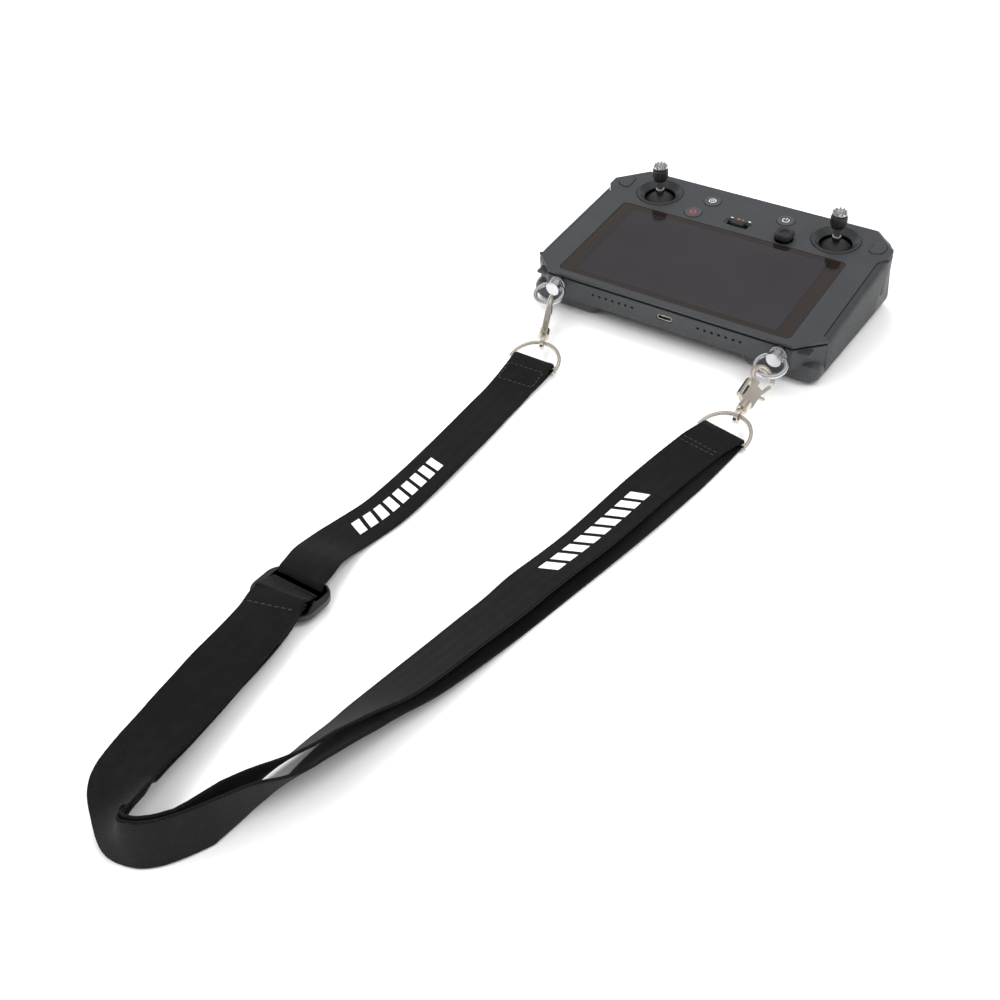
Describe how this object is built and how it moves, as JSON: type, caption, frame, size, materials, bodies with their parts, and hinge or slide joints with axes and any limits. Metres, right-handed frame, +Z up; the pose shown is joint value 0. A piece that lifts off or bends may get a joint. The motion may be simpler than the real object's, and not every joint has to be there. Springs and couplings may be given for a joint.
{
  "type": "radio transmitter controller",
  "caption": "Handheld radio transmitter controller with a built-in screen, thumb sticks on ball-like gimbals, folding aerials, keys and dials, on a clip-on webbing neck strap.",
  "frame": {"origin": "on the table under the centre of the display, with the case resting on its grips and the strap lying on the table", "axes": "+X to the right across the case, +Y away from the user towards the sticks and the far edge, +Z up"},
  "size_m": [0.1772, 0.5213, 0.0588],
  "materials": {
    "shell": "fine matt texture",
    "frame": "fine matt texture",
    "grip": "soft matt",
    "cover_glass": "polished",
    "display": "polished",
    "board": "solder mask",
    "cell": "shrink sleeve",
    "inner_plastic": "satin",
    "heat_sink": "brushed",
    "socket_metal": "satin",
    "bezel": "satin",
    "dome": "satin",
    "bright_steel": "polished",
    "sleeve": "ribbed satin",
    "key": "fine matt texture",
    "five_way": "satin",
    "dial": "satin",
    "aerial": "fine matt texture",
    "screw": "satin",
    "foot": "matt",
    "nickel": "polished",
    "webbing": "woven",
    "slider": "satin"
  },
  "bodies": {
    "case": {"front_cover": "shell", "mid_frame": "frame", "rear_cover": "shell", "grip_left": "grip", "grip_right": "grip", "screen_glass": "cover_glass", "display_panel": "display", "circuit_boards": "board", "battery_cells": "cell", "fan_housing": "inner_plastic", "heat_sink": "heat_sink", "speakers": "inner_plastic", "usb_c_port": "socket_metal", "hdmi_port": "socket_metal", "usb_a_port": "socket_metal", "card_slot": "socket_metal", "bezel_left": "bezel", "bezel_right": "bezel", "gimbal_base_left": "inner_plastic", "gimbal_base_right": "inner_plastic", "antenna_pins": "bright_steel", "housing_screws": "screw", "rubber_feet": "foot", "strap_studs": "bright_steel"},
    "fan": {"fan_rotor": "inner_plastic"},
    "yoke_left": {"gimbal_ring_left": "inner_plastic"},
    "yoke_right": {"gimbal_ring_right": "inner_plastic"},
    "stick_left": {"gimbal_dome_left": "dome", "stick_shaft_left": "bright_steel", "stick_sleeve_left": "sleeve"},
    "stick_right": {"gimbal_dome_right": "dome", "stick_shaft_right": "bright_steel", "stick_sleeve_right": "sleeve"},
    "home_key": {"home_button": "key"},
    "pause_key": {"pause_button": "key"},
    "power_key": {"power_button": "key"},
    "back_key": {"back_button": "key"},
    "confirm_key": {"confirm_button": "key"},
    "mode_switch": {"mode_slider": "key"},
    "five_way_press": {"five_way_carrier": "inner_plastic"},
    "five_way_roll": {"five_way_rocker": "bright_steel"},
    "five_way_top": {"five_way_cap": "five_way"},
    "record_key": {"record_button": "key"},
    "shutter_key": {"shutter_button": "key"},
    "rear_key_left": {"rear_button_left": "key"},
    "rear_key_right": {"rear_button_right": "key"},
    "dial_left": {"dial_left": "dial"},
    "dial_right": {"dial_right": "dial"},
    "aerial_left": {"antenna_left": "aerial"},
    "aerial_right": {"antenna_right": "aerial"},
    "harness": {"bail_left": "bright_steel", "bail_right": "bright_steel", "swivel_eyes": "nickel", "d_rings": "nickel", "webbing": "webbing", "strap_slider": "slider"},
    "snap_left": {"hook_left": "nickel"},
    "snap_right": {"hook_right": "nickel"},
    "latch_left": {"gate_left": "nickel"},
    "latch_right": {"gate_right": "nickel"}
  },
  "joints": [
    {"name": "stick_left_fore_aft", "type": "hinge", "parent": "case", "child": "yoke_left", "pos_m": [-0.0559, 0.05805, 0.02755], "axis": [1, 0, 0], "range_deg": [-24, 24], "stiffness_Nm_per_rad": 0.012},
    {"name": "stick_left_side", "type": "hinge", "parent": "yoke_left", "child": "stick_left", "pos_m": [-0.0559, 0.05805, 0.02755], "axis": [0, 0.9903, 0.1392], "range_deg": [-24, 24], "stiffness_Nm_per_rad": 0.012},
    {"name": "stick_right_fore_aft", "type": "hinge", "parent": "case", "child": "yoke_right", "pos_m": [0.0559, 0.05805, 0.02755], "axis": [1, 0, 0], "range_deg": [-24, 24], "stiffness_Nm_per_rad": 0.012},
    {"name": "stick_right_side", "type": "hinge", "parent": "yoke_right", "child": "stick_right", "pos_m": [0.0559, 0.05805, 0.02755], "axis": [0, 0.9903, 0.1392], "range_deg": [-24, 24], "stiffness_Nm_per_rad": 0.012},
    {"name": "home_key_press", "type": "slide", "parent": "case", "child": "home_key", "axis": [0, 0.1392, -0.9903], "range_m": [0, 0.0008], "stiffness_N_per_m": 300},
    {"name": "pause_key_press", "type": "slide", "parent": "case", "child": "pause_key", "axis": [0, 0.1392, -0.9903], "range_m": [0, 0.0008], "stiffness_N_per_m": 300},
    {"name": "power_key_press", "type": "slide", "parent": "case", "child": "power_key", "axis": [0, 0.1392, -0.9903], "range_m": [0, 0.0008], "stiffness_N_per_m": 300},
    {"name": "back_key_press", "type": "slide", "parent": "case", "child": "back_key", "axis": [0, 0.1392, -0.9903], "range_m": [0, 0.0008], "stiffness_N_per_m": 300},
    {"name": "confirm_key_press", "type": "slide", "parent": "case", "child": "confirm_key", "axis": [0, 0.1392, -0.9903], "range_m": [0, 0.0008], "stiffness_N_per_m": 300},
    {"name": "mode_switch_slide", "type": "slide", "parent": "case", "child": "mode_switch", "axis": [1, 0, 0], "range_m": [-0.0025, 0.0025]},
    {"name": "five_way_click", "type": "slide", "parent": "case", "child": "five_way_press", "axis": [0, 0.1392, -0.9903], "range_m": [0, 0.0006], "stiffness_N_per_m": 300},
    {"name": "five_way_fore_aft", "type": "hinge", "parent": "five_way_press", "child": "five_way_roll", "pos_m": [0.0298, 0.04499, 0.03207], "axis": [1, 0, 0], "range_deg": [-8, 8], "stiffness_Nm_per_rad": 0.02},
    {"name": "five_way_side", "type": "hinge", "parent": "five_way_roll", "child": "five_way_top", "pos_m": [0.0298, 0.04499, 0.03207], "axis": [0, 0.9903, 0.1392], "range_deg": [-8, 8], "stiffness_Nm_per_rad": 0.02},
    {"name": "record_press", "type": "slide", "parent": "case", "child": "record_key", "axis": [0, -0.9903, -0.1392], "range_m": [0, 0.0008], "stiffness_N_per_m": 300},
    {"name": "shutter_press", "type": "slide", "parent": "case", "child": "shutter_key", "axis": [0, -0.9903, -0.1392], "range_m": [0, 0.0008], "stiffness_N_per_m": 300},
    {"name": "rear_left_press", "type": "slide", "parent": "case", "child": "rear_key_left", "axis": [0, -0.1392, 0.9903], "range_m": [0, 0.0008], "stiffness_N_per_m": 300},
    {"name": "rear_right_press", "type": "slide", "parent": "case", "child": "rear_key_right", "axis": [0, -0.1392, 0.9903], "range_m": [0, 0.0008], "stiffness_N_per_m": 300},
    {"name": "dial_left_turn", "type": "hinge", "parent": "case", "child": "dial_left", "pos_m": [-0.0779, 0.07226, 0.02197], "axis": [0, -0.1392, 0.9903], "range_deg": [-30, 30], "stiffness_Nm_per_rad": 0.004},
    {"name": "dial_right_turn", "type": "hinge", "parent": "case", "child": "dial_right", "pos_m": [0.0779, 0.07226, 0.02197], "axis": [0, -0.1392, 0.9903], "range_deg": [-30, 30], "stiffness_Nm_per_rad": 0.004},
    {"name": "aerial_left_fold", "type": "hinge", "parent": "case", "child": "aerial_left", "pos_m": [-0.0615, 0.0776, 0.03211], "axis": [0, -0.1392, 0.9903], "range_deg": [0, 90]},
    {"name": "aerial_right_fold", "type": "hinge", "parent": "case", "child": "aerial_right", "pos_m": [0.0615, 0.0776, 0.03211], "axis": [0, 0.1392, -0.9903], "range_deg": [0, 90]},
    {"name": "fan_spin", "type": "hinge", "parent": "case", "child": "fan", "pos_m": [0, 0.05146, 0.02409], "axis": [0, -0.1392, 0.9903], "continuous": true},
    {"name": "strap_lift", "type": "hinge", "parent": "case", "child": "harness", "pos_m": [0.067, -0.04544, 0.01805], "axis": [-1, 0, 0], "range_deg": [0, 100]},
    {"name": "snap_left_swivel", "type": "hinge", "parent": "harness", "child": "snap_left", "pos_m": [-0.0493, -0.0863, 0.0083], "axis": [-0.4073, 0.9021, 0.1426], "range_deg": [-20, 6]},
    {"name": "latch_left_open", "type": "hinge", "parent": "snap_left", "child": "latch_left", "pos_m": [-0.05707, -0.06964, 0.00833], "axis": [0.9028, 0.4213, -0.0863], "range_deg": [0, 22], "stiffness_Nm_per_rad": 0.01},
    {"name": "snap_right_swivel", "type": "hinge", "parent": "harness", "child": "snap_right", "pos_m": [0.0679, -0.0902, 0.0078], "axis": [-0.0171, 0.9808, 0.1942], "range_deg": [-4, 20]},
    {"name": "latch_right_open", "type": "hinge", "parent": "snap_right", "child": "latch_right", "pos_m": [0.06942, -0.07196, 0.00953], "axis": [0.7094, -0.125, 0.6936], "range_deg": [0, 18], "stiffness_Nm_per_rad": 0.01}
  ]
}
